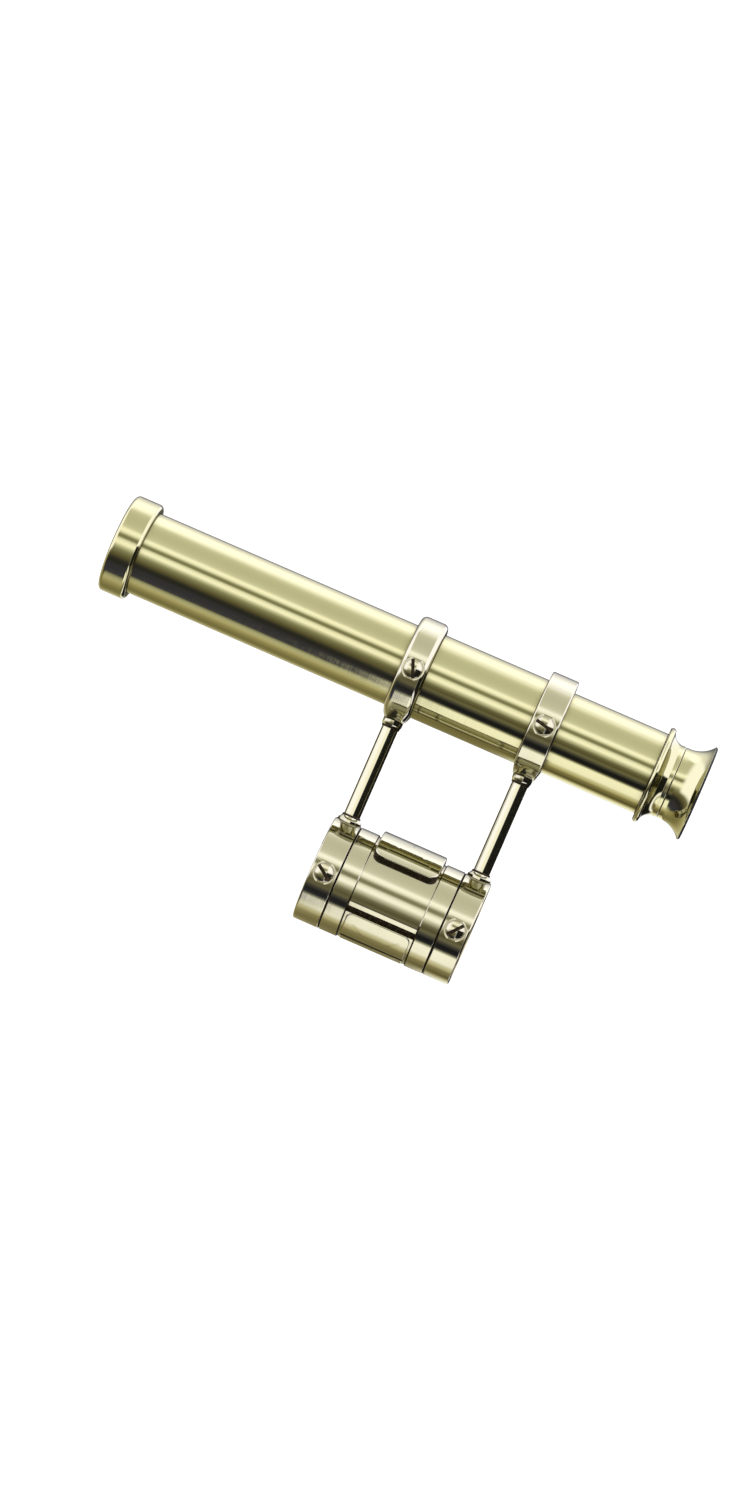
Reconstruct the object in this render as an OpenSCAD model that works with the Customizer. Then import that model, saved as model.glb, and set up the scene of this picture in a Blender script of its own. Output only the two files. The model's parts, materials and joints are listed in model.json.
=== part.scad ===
// Brass finder telescope on a two-post bracket that clamps round a larger instrument's tube.
// X runs along the clamp axis, from the objective (-X) to the eyepiece (+X), and Z is up, towards
// the finder. The origin is on the clamp axis, midway between the two clamp rings. Millimetres.

/* [Finder tube] */
// Height of the finder's axis above the clamp axis
axis_height = 97; // [92:1:110]
// Outside diameter of the main tube
tube_d = 38.1; // [37.5:0.1:38.5]
// Wall thickness of the main tube
tube_wall = 1.2; // [1:0.1:1.4]
// Distance from the middle of the bracket to the objective's front rim
front_reach = 175; // [150:1:200]
// Distance from the middle of the bracket to the eyecup's rim
rear_reach = 105; // [104:1:125]

/* [Objective] */
// Outside diameter of the objective cell
cell_d = 45.2; // [45:0.2:47]
// Outside diameter of the two objective lenses
lens_d = 38; // [37.5:0.1:38.2]

/* [Eyepiece] */
// Outside diameter of the draw tube
draw_d = 28.6; // [28:0.1:29]
// Outside diameter of the eyecup's rim
eyecup_d = 44.2; // [43:0.1:46]
// Diameter of the waist between the end cap and the eyecup
waist_d = 33.5; // [33:0.1:34.5]
// How far the draw tube pulls out to focus
focus_travel = 36; // [20:1:36]

/* [Bracket] */
// Distance between the two posts
post_spacing = 62.4; // [58:0.2:68]
// Diameter of a post
post_d = 7.5; // [7:0.1:8]
// Width of each ring along the tube
ring_width = 12.5; // [12:0.1:14]
// Outside diameter of the rings round the finder tube
tube_ring_d = 48.5; // [48:0.1:50]

/* [Clamp] */
// Diameter of the tube that the clamp rings hold
clamp_bore_d = 41.3; // [40.5:0.1:42]
// Outside diameter of the clamp rings
clamp_ring_d = 48.5; // [48:0.1:50]

/* [Screws] */
// Diameter of a screw's head
head_d = 8.5; // [8:0.1:9]
// Diameter of a screw's shank
shank_d = 4; // [3.5:0.5:4.5]

/* [Hidden] */
$fn = 96;
lens_fn = 256;        // finer, because a lens is a small part of a large sphere

BRASS = [0.80, 0.72, 0.42];
BRASS_SHADE = [0.70, 0.60, 0.32];
BLACKENED = [0.12, 0.12, 0.12];
GLASS = [0.70, 0.85, 0.90, 0.5];

// Fits and edges
running_gap = 0.05;   // radial clearance of what slides or turns
face_gap = 0.3;       // gap left between the faces of pieces that move apart
edge = 0.5;           // bevel on turned edges

// Finder tube
tube_r = tube_d / 2;
tube_bore_r = tube_r - tube_wall;
ring_x = post_spacing / 2;
sleeve_half = ring_x - ring_width / 2;
sleeve_r = tube_r + 0.85;

// Objective, from the front rim backwards
cell_r = cell_d / 2;
cell_front = -front_reach;
cell_length = 11.5;
cell_rear = cell_front + cell_length;
cell_back = cell_rear + 1.1;        // back face of the cell, past the end of the tube
cell_round = 1.7;                  // radius of the cell's back edge
spigot_length = 10.5;
recess_depth = 4.7;
recess_r = 19.9;
lens_r = lens_d / 2;
lens_seat_r = lens_r + running_gap;
objective_ring_r = 17.2;
aperture_r = 16.6;
seat_x = cell_rear - 0.8;          // shoulder that the flint lens rests on
flint_edge = 2.7;
crown_edge = 1.6;
cement = 0.05;
front_curve = 110;                 // radius of the crown lens's front face
inner_curve = 120;                 // radius of the faces between the two lenses
flint_x = seat_x - flint_edge;
crown_x = flint_x - cement - crown_edge;

// End cap, eyecup and draw tube, from the eyecup's rim forwards
eyecup_r = eyecup_d / 2;
waist_r = waist_d / 2;
eyecup_front = rear_reach - 13;
cap_rear = eyecup_front - face_gap;
cap_waist_length = 1.5;
cap_cove = 5.2;                    // radius of the hollow curve behind the flange
flange_r = 22.4;
flange_thick = 2.6;
flange_x = cap_rear - cap_waist_length - cap_cove - flange_thick;
cap_spigot = 10;
draw_r = draw_d / 2;
draw_wall = 1;
draw_bore_r = draw_r - draw_wall;
draw_rear = eyecup_front + 4;
guide_length = 24;
guide_rear = flange_x - cap_spigot - 2;
guide_front = guide_rear - guide_length;
stop_length = 4;
stop_r = tube_bore_r - 1.2;
stop_slack = 1.5;
draw_front = guide_front - stop_slack - focus_travel - stop_length;

// Eyepiece optics, from the eyecup forwards
carrier_wall = 1;
carrier_r = draw_bore_r;
carrier_bore_r = carrier_r - carrier_wall;
carrier_rear = draw_rear - face_gap;
carrier_length = 38;
carrier_front = carrier_rear - carrier_length;
eye_seat_x = carrier_rear - 4.1;   // flat face of the eye lens
eye_cell_length = 7.5;
eye_lens_r = 9;
eye_lens_edge = 1.4;
eye_lens_bulge = 2;
eye_stop_r = 7.5;
eye_cell_front = carrier_rear - eye_cell_length;
eye_hole_r = 6.5;
field_x = carrier_front + 14;      // flat face of the field lens
field_lens_edge = 1.5;
field_lens_bulge = 3;
field_stop_x = carrier_front + 4;
field_stop_thick = 1.2;
field_stop_r = 9;
wire_r = 0.1;

// Clamp rings, spacer sleeve and saddle
clamp_r = clamp_bore_d / 2;
clamp_ring_r = clamp_ring_d / 2;
spacer_body_r = clamp_ring_r - 0.55;
spacer_collar = 8.8;
saddle_length = 30;
saddle_width = 42.6;
saddle_rise = 3.3;
saddle_corner = 4;
saddle_r = spacer_body_r + saddle_rise;
belly_length = 30;
belly_width = 42.4;
belly_corner = 3;
belly_r = clamp_ring_r - 0.1;
groove_top = -16.4;                // angles below the sleeve's side where its groove starts,
groove_lip = -22.3;                // where the groove's sloping lip ends
groove_bottom = -28.6;             // and where the groove itself ends
groove_lip_depth = 0.65;
groove_depth = 1.2;

// Posts
post_r = post_d / 2;
stud_r = 2.5;
tube_ring_r = tube_ring_d / 2;
ring_shoulder = 2.4;               // radius of the front ring's rounded shoulders
ring_taper = 1.15;                 // what each side of a finder ring loses towards the ferrule
post_seat_depth = 0.75;            // how far a post stands in the clamp ring
post_bottom = clamp_ring_r - post_seat_depth;
ring_underside = axis_height - tube_ring_r;
ferrule_height = 3.4;
ferrule_r = 4.6;
ferrule_neck_r = post_r + 0.35;
ferrule_cove = 3.6;
ferrule_bottom = ring_underside - ferrule_height;
post_top = ferrule_bottom + 2.3;
foot_r = 5.5;
foot_neck_r = post_r + 0.5;
foot_cove = 2.6;
foot_top = clamp_ring_r + 3;
stud_clear = 0.35;                 // how far a post's stud stops short of the tubes

// Screws, which lie along -Y
shank_r = shank_d / 2;
head_r = head_d / 2;
head_edge = 1.3;                   // height of the head's straight side
head_dome = 1;                     // height of the dome above it
slot_width = 1.5;
slot_depth = 1.2;
seat_depth = 0.45;                 // depth of the flat that the head turns on
seat_margin = 0.9;                 // how far that flat reaches past the head
tube_seat_r = tube_ring_r - seat_depth;
clamp_seat_r = clamp_ring_r - seat_depth;
head_gap = 0.05;
tip_gap = 0.1;

// Turns a profile, drawn as [radius, place along X], about an axis along X at height z.
module turned(z = axis_height) {
    translate([0, 0, z]) rotate([0, 90, 0]) rotate_extrude() children();
}

// Turns a profile, drawn as [radius, height], about a post's own axis.
module turned_on_post(x) {
    translate([x, 0, 0]) rotate_extrude() children();
}

// Profile of a plain sleeve.
module sleeve_outline(x0, x1, outer, inner) {
    translate([inner, x0]) square([outer - inner, x1 - x0]);
}

// Profile of a band whose two outer edges are bevelled.
module band_outline(x0, x1, outer, inner, bevel = edge) {
    polygon([
        [inner, x0], [outer - bevel, x0], [outer, x0 + bevel],
        [outer, x1 - bevel], [outer - bevel, x1], [inner, x1]
    ]);
}

module rounded_rectangle(length, width, corner) {
    square([length - 2 * corner, width], center = true);
    square([length, width - 2 * corner], center = true);
    for (i = [-1, 1], j = [-1, 1])
        translate([i * (length / 2 - corner), j * (width / 2 - corner)]) circle(corner);
}

// Radius of the sphere whose cap has this rise over a circle of radius r.
function cap_radius(r, rise) = (r * r + rise * rise) / (2 * rise);

// How far a sphere's cap rises over a circle of radius r.
function cap_rise(sphere_r, r) = sphere_r - sqrt(sphere_r * sphere_r - r * r);

// Places children, modelled along +Z, so that they point to -Y from the axis at [x, z].
module facing_side(x, z) {
    translate([x, 0, z]) rotate([90, 0, 0]) children();
}

// ---- Tube ----

module main_tube() {
    color(BRASS) turned() sleeve_outline(cell_rear, flange_x, tube_r, tube_bore_r);
}

// Thin sleeve that stiffens the tube and keeps the two rings apart.
module tube_sleeve() {
    color(BRASS) turned() sleeve_outline(-sleeve_half, sleeve_half, sleeve_r, tube_r);
}

// Blackened ring inside the tube that stops stray light.
module baffle(x, hole_r) {
    flange_length = 5;
    web = 1;
    color(BLACKENED) turned() difference() {
        sleeve_outline(x, x + flange_length, tube_bore_r, hole_r);
        sleeve_outline(x + web, x + flange_length + 1, tube_bore_r - 1, 0);
    }
}

module front_baffle() { baffle(-front_reach * 0.52, 13.5); }

module rear_baffle() { baffle(-front_reach * 0.17, 10); }

// ---- Objective ----

module objective_cell() {
    front_bevel = 2;
    color(BRASS) turned() difference() {
        union() {
            polygon([
                [0, cell_front], [cell_r - front_bevel, cell_front],
                [cell_r - front_bevel * 0.3, cell_front + front_bevel * 0.3],
                [cell_r, cell_front + front_bevel], [cell_r, cell_back - cell_round],
                [cell_r - cell_round, cell_back], [0, cell_back]
            ]);
            translate([cell_r - cell_round, cell_back - cell_round]) circle(cell_round);
            sleeve_outline(cell_rear, cell_rear + spigot_length, tube_bore_r, 0);
        }
        sleeve_outline(cell_front - 1, cell_front + recess_depth, recess_r, 0);
        sleeve_outline(cell_front, seat_x, lens_seat_r, 0);
        sleeve_outline(cell_front, cell_rear + spigot_length + 1, aperture_r, 0);
        sleeve_outline(cell_rear, cell_back + 1, tube_r, tube_bore_r);
    }
}

// Threaded ring that holds the lenses, with two notches for a spanner.
module objective_ring() {
    ring_front = cell_front + recess_depth;
    rise = cap_rise(front_curve, lens_r) - cap_rise(front_curve, objective_ring_r);
    ring_rear = crown_x - rise - 0.03;
    notch = 2;
    color(BLACKENED) difference() {
        turned() sleeve_outline(ring_front, ring_rear, lens_seat_r, objective_ring_r);
        translate([ring_front - 1, -notch / 2, axis_height - lens_r - 1])
            cube([1.8, notch, 2 * lens_r + 2]);
    }
}

module crown_lens() {
    front_pole = crown_x - cap_rise(front_curve, lens_r);
    rear_pole = crown_x + crown_edge + cap_rise(inner_curve, lens_r);
    color(GLASS) translate([0, 0, axis_height]) intersection() {
        translate([front_pole - 1, 0, 0]) rotate([0, 90, 0]) cylinder(r = lens_r, h = 9);
        translate([front_pole + front_curve, 0, 0]) sphere(front_curve, $fn = lens_fn);
        translate([rear_pole - inner_curve, 0, 0]) sphere(inner_curve, $fn = lens_fn);
    }
}

module flint_lens() {
    hollow_pole = flint_x + cap_rise(inner_curve, lens_r);
    color(GLASS) translate([0, 0, axis_height]) difference() {
        translate([flint_x, 0, 0]) rotate([0, 90, 0]) cylinder(r = lens_r, h = flint_edge);
        translate([hollow_pole - inner_curve, 0, 0]) sphere(inner_curve, $fn = lens_fn);
    }
}

// ---- Eyepiece end of the tube ----

// Flanged cap that screws into the tube and guides the draw tube.
module end_cap() {
    color(BRASS) turned() difference() {
        union() {
            sleeve_outline(flange_x - cap_spigot, cap_rear, tube_bore_r, 0);
            band_outline(flange_x, flange_x + flange_thick, flange_r, 0);
            difference() {
                sleeve_outline(flange_x + 1, cap_rear, waist_r + cap_cove - 0.3, 0);
                translate([waist_r + cap_cove, cap_rear - cap_waist_length]) circle(cap_cove);
                sleeve_outline(cap_rear - cap_waist_length, cap_rear + 1, waist_r + 9, waist_r);
            }
        }
        sleeve_outline(flange_x - cap_spigot - 1, cap_rear + 1, draw_r + running_gap, 0);
        sleeve_outline(flange_x - cap_spigot - 1, flange_x - 1, tube_bore_r - 1.4, 0);
    }
}

// Long bush that keeps the draw tube straight.
module draw_tube_guide() {
    color(BRASS_SHADE) turned()
        sleeve_outline(guide_front, guide_rear, tube_bore_r, draw_r + running_gap);
}

// ---- Rings and screws ----

// Flat seat at seat_r from the axis, and through hole, for a screw in the side of a ring.
module screw_seat(x, z, seat_r) {
    facing_side(x, z) {
        cylinder(r = shank_r + running_gap, h = seat_r + 1);
        translate([0, 0, seat_r]) cylinder(r = head_r + seat_margin, h = 5);
    }
}

// Profile of the front ring round the finder tube, which has rounded shoulders.
module front_ring_outline(inner) {
    shoulder_r = tube_ring_r - ring_shoulder;
    x0 = -ring_x - ring_width / 2;
    x1 = x0 + ring_width;
    sleeve_outline(x0, x1, shoulder_r, inner);
    sleeve_outline(x0 + ring_shoulder, x1 - ring_shoulder, tube_ring_r, inner);
    for (x = [x0 + ring_shoulder, x1 - ring_shoulder])
        translate([shoulder_r, x]) circle(ring_shoulder);
}

// Profile of the rear ring round the finder tube, which has plain bevelled edges.
module rear_ring_outline(inner) {
    band_outline(ring_x - ring_width / 2, ring_x + ring_width / 2, tube_ring_r, inner);
}

// Ring round the finder tube, turned from a child profile and drilled below for the post's stud.
module tube_ring(x) {
    color(BRASS) difference() {
        turned() children();
        translate([x, 0, ring_underside - 1]) cylinder(r = stud_r, h = tube_ring_r);
        screw_seat(x, axis_height, tube_seat_r);
        translate([x, 0, axis_height - tube_r]) {
            taper_cut();
            mirror([1, 0, 0]) taper_cut();
        }
    }
}

// What is cut off one side of a finder ring below the tube, so that it narrows to the ferrule.
module taper_cut() {
    half = ring_width / 2;
    past = 1.3;                    // the cut runs on past the ring's underside
    depth = past * (tube_ring_r - tube_r);
    rotate([90, 0, 0]) linear_extrude(2 * tube_ring_r, center = true)
        polygon([[half, 0], [half - past * ring_taper, -depth], [half + 2, -depth], [half + 2, 0]]);
}

// Ring round the instrument's tube, with a seat above for the post.
module clamp_ring(x) {
    color(BRASS) difference() {
        turned(0) band_outline(x - ring_width / 2, x + ring_width / 2, clamp_ring_r, clamp_r);
        translate([x, 0, 0]) cylinder(r = stud_r, h = clamp_ring_r + 1);
        translate([x, 0, post_bottom]) cylinder(r = post_r, h = 2);
        screw_seat(x, 0, clamp_seat_r);
    }
}

// Slotted clamp screw: it seats on a flat at seat_r and bears on a tube of radius held_r.
module slotted_screw(x, z, seat_r, held_r, slot_angle) {
    seat = seat_r + head_gap;
    dome_r = cap_radius(head_r, head_dome);
    top = seat + head_edge + head_dome;
    color(BRASS_SHADE) facing_side(x, z) difference() {
        union() {
            translate([0, 0, held_r + tip_gap]) cylinder(r = shank_r, h = seat - held_r);
            intersection() {
                translate([0, 0, seat]) cylinder(r = head_r, h = head_edge + head_dome);
                translate([0, 0, top - dome_r]) sphere(dome_r);
            }
        }
        rotate([0, 0, slot_angle]) translate([-head_r - 1, -slot_width / 2, top - slot_depth])
            cube([2 * head_r + 2, slot_width, slot_depth + 1]);
    }
}

module front_tube_ring() { tube_ring(-ring_x) front_ring_outline(tube_r); }

module rear_tube_ring() { tube_ring(ring_x) rear_ring_outline(tube_r); }

module front_clamp_ring() { clamp_ring(-ring_x); }

module rear_clamp_ring() { clamp_ring(ring_x); }

module front_ring_screw() { slotted_screw(-ring_x, axis_height, tube_seat_r, tube_r, 113); }

module rear_ring_screw() { slotted_screw(ring_x, axis_height, tube_seat_r, tube_r, -13); }

module front_clamp_screw() { slotted_screw(-ring_x, 0, clamp_seat_r, clamp_r, -35); }

module rear_clamp_screw() { slotted_screw(ring_x, 0, clamp_seat_r, clamp_r, 50); }

// ---- Posts ----

// Plain rod with a threaded stud at each end.
module post(x) {
    stud_bottom = clamp_r + stud_clear;
    stud_top = axis_height - tube_r - stud_clear;
    color(BRASS) translate([x, 0, 0]) {
        translate([0, 0, post_bottom]) cylinder(r = post_r, h = post_top - post_bottom);
        translate([0, 0, stud_bottom]) cylinder(r = stud_r, h = stud_top - stud_bottom);
    }
}

// Collar under the finder's ring that tapers down to the post. A child profile shapes its top.
module post_ferrule(x) {
    color(BRASS) difference() {
        turned_on_post(x) difference() {
            sleeve_outline(ferrule_bottom, ring_underside + 3, ferrule_r, 0);
            translate([ferrule_neck_r + ferrule_cove, ferrule_bottom]) circle(ferrule_cove);
            sleeve_outline(ferrule_bottom - 1, post_top, post_r, 0);
            sleeve_outline(ferrule_bottom - 1, ring_underside + 4, stud_r, 0);
        }
        turned() children();
    }
}

// Flared collar that sits on the clamp ring round the bottom of the post.
module post_foot(x) {
    color(BRASS) difference() {
        turned_on_post(x) difference() {
            sleeve_outline(clamp_ring_r - 1, foot_top, foot_r, post_r);
            translate([foot_neck_r + foot_cove, foot_top]) circle(foot_cove);
        }
        translate([x - 10, 0, 0]) rotate([0, 90, 0]) cylinder(r = clamp_ring_r, h = 20);
    }
}

module front_post() { post(-ring_x); }

module rear_post() { post(ring_x); }

module front_post_ferrule() { post_ferrule(-ring_x) front_ring_outline(0); }

module rear_post_ferrule() { post_ferrule(ring_x) rear_ring_outline(0); }

module front_post_foot() { post_foot(-ring_x); }

module rear_post_foot() { post_foot(ring_x); }

// ---- Spacer between the clamp rings ----

function polar(r, a) = [r * cos(a), r * sin(a)];

module spacer_sleeve() {
    color(BRASS) difference() {
        turned(0) {
            sleeve_outline(-sleeve_half, sleeve_half, spacer_body_r, clamp_r);
            band_outline(-sleeve_half, spacer_collar - sleeve_half, clamp_ring_r, clamp_r, 0.3);
            band_outline(sleeve_half - spacer_collar, sleeve_half, clamp_ring_r, clamp_r, 0.3);
        }
        side_groove();
        mirror([0, 1, 0]) side_groove();
    }
}

// Groove along the side of the sleeve's body, above the belly plate. Its upper lip slopes inwards.
module side_groove() {
    body_length = 2 * (sleeve_half - spacer_collar);
    floor_r = spacer_body_r - groove_depth;
    rotate([90, 0, 90]) linear_extrude(body_length, center = true) polygon([
        polar(spacer_body_r, groove_top), polar(spacer_body_r - groove_lip_depth, groove_lip),
        polar(floor_r, groove_lip), polar(floor_r, groove_bottom),
        polar(clamp_ring_r + 1, groove_bottom), polar(clamp_ring_r + 1, groove_top)
    ]);
}

// Curved plate on top of the spacer sleeve.
module saddle_plate() {
    color(BRASS) intersection() {
        turned(0) sleeve_outline(-saddle_length / 2, saddle_length / 2, saddle_r, spacer_body_r);
        linear_extrude(saddle_r + 1) rounded_rectangle(saddle_length, saddle_width, saddle_corner);
    }
}

// Thin curved plate on the underside of the sleeve, nearly flush with its collars.
module belly_plate() {
    color(BRASS) intersection() {
        turned(0) sleeve_outline(-belly_length / 2, belly_length / 2, belly_r, spacer_body_r);
        mirror([0, 0, 1]) linear_extrude(belly_r + 1)
            rounded_rectangle(belly_length, belly_width, belly_corner);
    }
}

// ---- Draw tube and eyepiece ----

module draw_tube() {
    color(BRASS) turned() sleeve_outline(draw_front, draw_rear, draw_r, draw_bore_r);
}

// Ring round the front of the draw tube that stops it pulling out.
module draw_tube_stop() {
    color(BRASS_SHADE) turned()
        sleeve_outline(draw_front, draw_front + stop_length, stop_r, draw_r);
}

module lens_carrier() {
    color(BLACKENED) turned()
        sleeve_outline(carrier_front, carrier_rear, carrier_r, carrier_bore_r);
}

module field_stop() {
    color(BLACKENED) turned()
        sleeve_outline(field_stop_x, field_stop_x + field_stop_thick, carrier_bore_r, field_stop_r);
}

// Two fine wires stretched across the field stop.
module crosshair() {
    reach = field_stop_r + 2;
    color(BLACKENED) {
        translate([field_stop_x - wire_r, 0, axis_height - reach]) cylinder(r = wire_r, h = 2 * reach);
        translate([field_stop_x - 3.2 * wire_r, -reach, axis_height]) rotate([-90, 0, 0])
            cylinder(r = wire_r, h = 2 * reach);
    }
}

module field_lens_ring() {
    color(BLACKENED) turned() sleeve_outline(field_x - 2.2, field_x, carrier_bore_r, 11);
}

module field_lens() {
    plano_convex(field_x, 1, carrier_bore_r, field_lens_edge, field_lens_bulge);
}

module eye_lens() {
    plano_convex(eye_seat_x, -1, eye_lens_r, eye_lens_edge, eye_lens_bulge);
}

// Lens with its flat face at x and its dome towards +X (side 1) or -X (side -1).
module plano_convex(x, side, lens_radius, rim, bulge) {
    dome_r = cap_radius(lens_radius, bulge);
    color(GLASS) translate([x, 0, axis_height]) intersection() {
        rotate([0, 90 * side, 0]) cylinder(r = lens_radius, h = rim + bulge);
        translate([side * (rim + bulge - dome_r), 0, 0]) sphere(dome_r, $fn = lens_fn);
    }
}

// How far a lens's dome stands above its rim at radius r, plus a hair of clearance.
function dome_seat(lens_radius, bulge, r) =
    bulge - cap_rise(cap_radius(lens_radius, bulge), r) + running_gap;

// Thin tube that keeps the two eyepiece lenses apart. Its front edge rests on the field lens's dome.
module lens_spacer() {
    bore_r = carrier_bore_r - 0.8;
    front = field_x + field_lens_edge + dome_seat(carrier_bore_r, field_lens_bulge, bore_r);
    color(BLACKENED) turned() sleeve_outline(front, eye_cell_front, carrier_bore_r, bore_r);
}

// Ring that holds the eye lens in its cell. Its rear edge rests on the lens's dome.
module eye_lens_ring() {
    bore_r = eye_lens_r - 0.7;
    rear = eye_seat_x - eye_lens_edge - dome_seat(eye_lens_r, eye_lens_bulge, bore_r);
    color(BLACKENED) turned() sleeve_outline(rear - 0.8, rear, eye_lens_r, bore_r);
}

module eye_lens_cell() {
    color(BRASS_SHADE) turned() difference() {
        sleeve_outline(eye_cell_front, carrier_rear, carrier_bore_r, eye_stop_r);
        sleeve_outline(eye_cell_front - 1, eye_seat_x, eye_lens_r, 0);
    }
}

// Trumpet-shaped cup that screws on the draw tube, dished where the eye goes.
module eyecup() {
    collar = 1.5;
    rim_thick = 1.1;
    web = 1;
    flare_length = rear_reach - rim_thick - eyecup_front - collar;
    flare_rise = eyecup_r - waist_r;
    flare = cap_radius(flare_length, flare_rise);
    dish_rim_r = eyecup_r - 1.1;
    dish_floor = draw_rear + web;
    dish_depth = rear_reach - 0.3 - dish_floor;
    // The dish is a sphere through the rim and round the eye hole.
    dish_centre = dish_floor + (dish_depth * dish_depth + dish_rim_r * dish_rim_r
        - eye_hole_r * eye_hole_r) / (2 * dish_depth);
    dish_r = sqrt(pow(dish_centre - dish_floor, 2) + eye_hole_r * eye_hole_r);
    color(BRASS) turned() difference() {
        sleeve_outline(eyecup_front, rear_reach, eyecup_r, 0);
        difference() {
            sleeve_outline(eyecup_front - 1, rear_reach - rim_thick, eyecup_r + 2, waist_r);
            translate([0, eyecup_front + collar]) difference() {
                square([eyecup_r + 3, flare_length + 1]);
                translate([waist_r + flare, 0]) circle(flare);
            }
        }
        sleeve_outline(eyecup_front - 1, draw_rear, draw_r, 0);
        sleeve_outline(eyecup_front - 1, rear_reach, eye_hole_r, 0);
        intersection() {
            translate([0, dish_centre]) circle(dish_r);
            sleeve_outline(eyecup_front, rear_reach + 1, eyecup_r, 0);
        }
    }
}

main_tube();
tube_sleeve();
objective_cell();
objective_ring();
crown_lens();
flint_lens();
front_baffle();
rear_baffle();
end_cap();
draw_tube_guide();
front_tube_ring();
rear_tube_ring();
front_ring_screw();
rear_ring_screw();
front_post_ferrule();
rear_post_ferrule();
front_post();
rear_post();
front_post_foot();
rear_post_foot();
front_clamp_ring();
rear_clamp_ring();
front_clamp_screw();
rear_clamp_screw();
spacer_sleeve();
saddle_plate();
belly_plate();
draw_tube();
draw_tube_stop();
lens_carrier();
field_stop();
crosshair();
field_lens_ring();
field_lens();
lens_spacer();
eye_lens_ring();
eye_lens();
eye_lens_cell();
eyecup();
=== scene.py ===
import json
import math

import bmesh
import bpy
from mathutils import Matrix, Vector


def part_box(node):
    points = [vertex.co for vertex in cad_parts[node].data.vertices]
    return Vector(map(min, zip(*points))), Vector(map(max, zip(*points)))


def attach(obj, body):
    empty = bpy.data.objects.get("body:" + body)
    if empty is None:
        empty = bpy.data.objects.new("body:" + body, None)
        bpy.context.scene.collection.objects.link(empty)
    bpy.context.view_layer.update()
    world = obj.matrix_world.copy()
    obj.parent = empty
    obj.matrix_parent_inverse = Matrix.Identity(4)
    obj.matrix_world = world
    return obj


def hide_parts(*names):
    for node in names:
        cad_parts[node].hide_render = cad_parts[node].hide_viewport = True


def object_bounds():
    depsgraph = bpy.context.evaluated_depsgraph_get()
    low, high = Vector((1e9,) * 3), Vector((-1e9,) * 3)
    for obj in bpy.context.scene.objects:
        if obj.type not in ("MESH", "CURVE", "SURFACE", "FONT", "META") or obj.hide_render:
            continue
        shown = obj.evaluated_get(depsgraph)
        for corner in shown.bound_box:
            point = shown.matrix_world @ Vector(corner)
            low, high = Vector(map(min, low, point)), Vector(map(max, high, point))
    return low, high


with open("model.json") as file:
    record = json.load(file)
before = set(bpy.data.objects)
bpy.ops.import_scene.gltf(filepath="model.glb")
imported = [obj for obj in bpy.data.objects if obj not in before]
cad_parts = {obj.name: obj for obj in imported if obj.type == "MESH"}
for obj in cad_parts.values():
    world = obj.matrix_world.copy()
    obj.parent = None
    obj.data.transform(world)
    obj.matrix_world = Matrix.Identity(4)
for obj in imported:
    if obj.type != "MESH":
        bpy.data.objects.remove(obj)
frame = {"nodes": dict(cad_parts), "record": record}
cad_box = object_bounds()

# ---------------------------------------------------------------- sizes, in metres, from the frame
MM = 0.001
TURN = 2 * math.pi
AROUND = 256                # points round a turned piece
AROUND_SMALL = 96           # points round a post or a screw
AROUND_GROOVED = 720        # points round the spacer sleeve, so that its grooves' edges stay sharp
AROUND_LENS = 128
SHARP = math.radians(38)    # edges steeper than this are shaded sharp
STRAIGHT = math.radians(168)    # corners of an outline wider than this are left as they are
MOST_OF_SIDE = 0.48         # share of a side that one corner's rounding may take


def span(node, axis):
    """Lowest and highest place of a CAD node along one axis: 0 is X, 1 is Y, 2 is Z."""
    low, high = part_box(node)
    return low[axis], high[axis]


def radius_of(node):
    """Outside radius of a piece turned about an axis along X."""
    low, high = span(node, 1)
    return (high - low) / 2


AXIS_Z = sum(span("main_tube", 2)) / 2          # height of the finder's axis above the clamp axis
TUBE_R = radius_of("main_tube")
TUBE_BORE_R = radius_of("front_baffle")
CLAMP_R = frame["record"]["mounts"][0]["dims"]["r_mm"] * MM
CLAMP_RING_R = radius_of("spacer_sleeve")
HAIR = 0.01 * MM            # the outermost surfaces stay this far inside the CAD box
TUBE_RING_R = span("rear_tube_ring", 2)[1] - AXIS_Z - HAIR
SHOULDER = 2.4 * MM         # radius of the front ring's rounded shoulders
RING_HALF = (span("rear_tube_ring", 0)[1] - span("rear_tube_ring", 0)[0]) / 2
DRAW_R = radius_of("draw_tube")
LENS_R = radius_of("crown_lens")
POST_R = radius_of("front_post")
HEAD_R = (span("front_ring_screw", 2)[1] - span("front_ring_screw", 2)[0]) / 2
HEAD_HEIGHT = 2.35 * MM     # from a screw's seat to the top of its head
FLAT_MARGIN = 0.9 * MM      # how far the flat on a ring reaches past the screw's head
NARROWING = 0.2             # share of their width that the finder's rings lose at the bottom
JOINT_SHADE_WIDTH = 0.55 * MM     # width of painted shade along a clamp ring's edge where it meets the sleeve
WAIST_R = 16.75 * MM        # waist that the end cap and the eyecup share
FIT = 0.05 * MM             # radial clearance of a running fit
SLACK = 0.05 * MM           # how far past a surface its own faces are still found
FRONT_CURVE = 110 * MM      # radius of the objective's front face
INNER_CURVE = 120 * MM      # radius of the faces between its two lenses
FINDER, EYEPIECE = "finder", "eyepiece"

# ---------------------------------------------------------------- mesh making


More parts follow.
